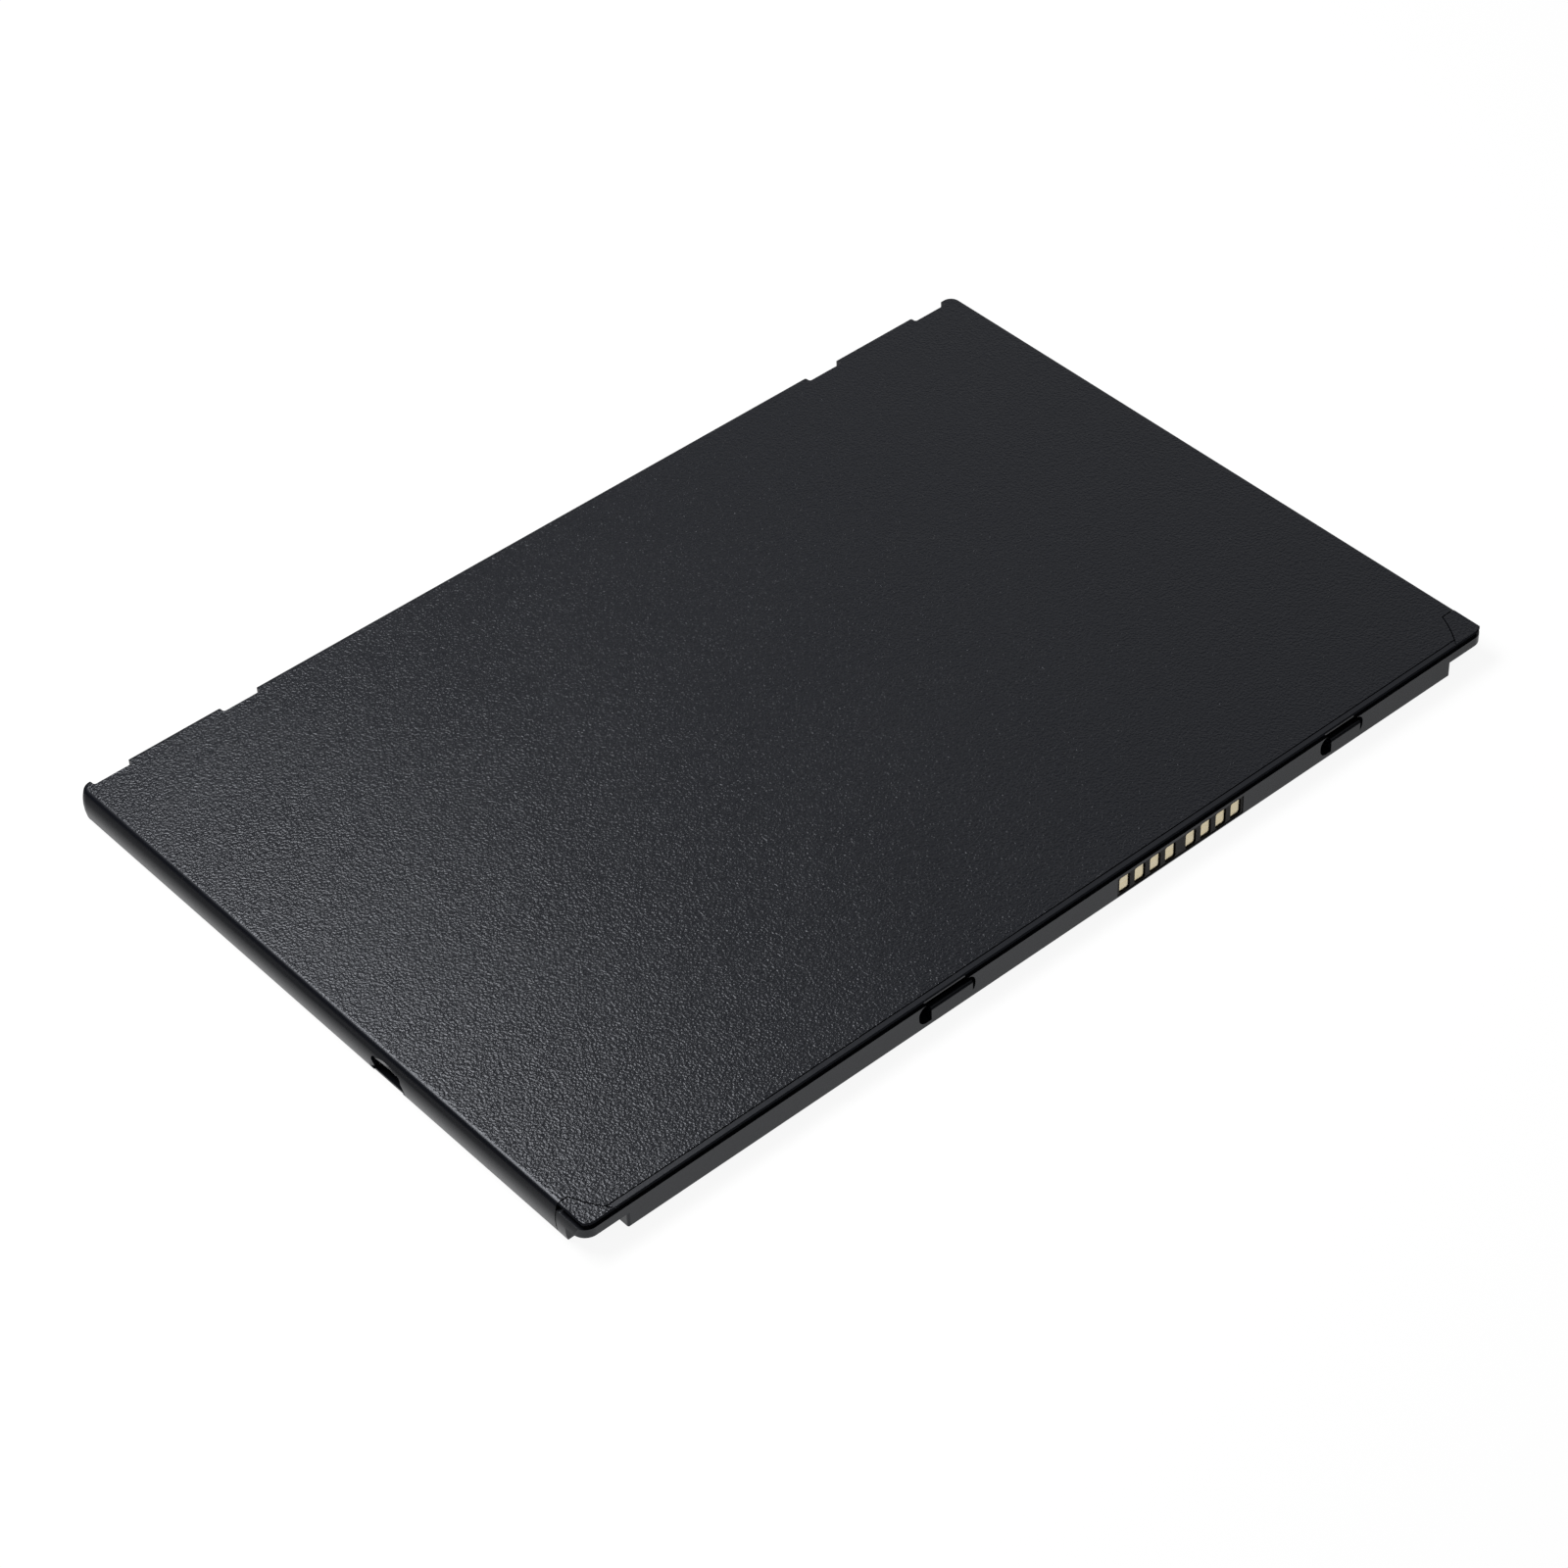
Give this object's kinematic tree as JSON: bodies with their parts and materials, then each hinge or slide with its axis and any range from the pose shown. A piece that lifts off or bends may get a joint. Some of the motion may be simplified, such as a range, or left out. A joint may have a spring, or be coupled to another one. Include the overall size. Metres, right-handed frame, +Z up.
{
  "type": "tablet battery",
  "caption": "Flat slab battery pack that clips on as a tablet's back, with a grained cover, a front contact row, hook pockets and a side latch slot.",
  "frame": {"origin": "middle of the underside", "axes": "+X along the long side, from the latch slot's end to the other; +Y from the contact edge to the notched edge; +Z up through the thickness to the textured face"},
  "size_m": [0.2164, 0.1448, 0.0066],
  "materials": {
    "textured_cover": "black, fine spark-eroded grain, satin",
    "smooth_case": "black, smooth satin",
    "contact_block": "black, smooth",
    "plated_contact": "pale gold plating",
    "circuit_board": "green solder mask",
    "ceramic": "tan ceramic",
    "chip_body": "black moulded",
    "fuse_body": "white ceramic",
    "nickel_strip": "bright rolled nickel",
    "cell_pouch": "matt laminated foil",
    "cell_tab": "bright rolled",
    "amber_film": "clear amber film",
    "adhesive_sheet": "white tape",
    "foam": "soft closed-cell foam",
    "label_film": "bare printed-film stock"
  },
  "bodies": {
    "root": {"base_tray": "smooth_case", "board_capacitors": "ceramic", "cell_tabs_1": "cell_tab", "cell_tabs_2": "cell_tab", "cell_tabs_3": "cell_tab", "cell_tabs_4": "cell_tab", "cell_tape_1": "adhesive_sheet", "cell_tape_2": "adhesive_sheet", "cell_tape_3": "adhesive_sheet", "cell_tape_4": "adhesive_sheet", "charge_fet": "chip_body", "contact_blade_1": "plated_contact", "contact_blade_2": "plated_contact", "contact_blade_3": "plated_contact", "contact_blade_4": "plated_contact", "contact_blade_5": "plated_contact", "contact_blade_6": "plated_contact", "contact_blade_7": "plated_contact", "contact_blade_8": "plated_contact", "contact_housing": "contact_block", "cutoff_fuse": "fuse_body", "discharge_fet": "chip_body", "foam_pad_1": "foam", "foam_pad_2": "foam", "foam_pad_3": "foam", "foam_pad_4": "foam", "gauge_chip": "chip_body", "nickel_link_1": "nickel_strip", "nickel_link_2": "nickel_strip", "nickel_link_3": "nickel_strip", "nickel_link_4": "nickel_strip", "nickel_link_5": "nickel_strip", "pouch_cell_1": "cell_pouch", "pouch_cell_2": "cell_pouch", "pouch_cell_3": "cell_pouch", "pouch_cell_4": "cell_pouch", "protection_board": "circuit_board", "rating_label": "label_film", "sense_resistor": "chip_body", "tab_insulator_1": "amber_film", "tab_insulator_2": "amber_film", "tab_insulator_3": "amber_film", "tab_insulator_4": "amber_film", "thermistor": "chip_body", "top_cover": "textured_cover"}
  },
  "joints": []
}
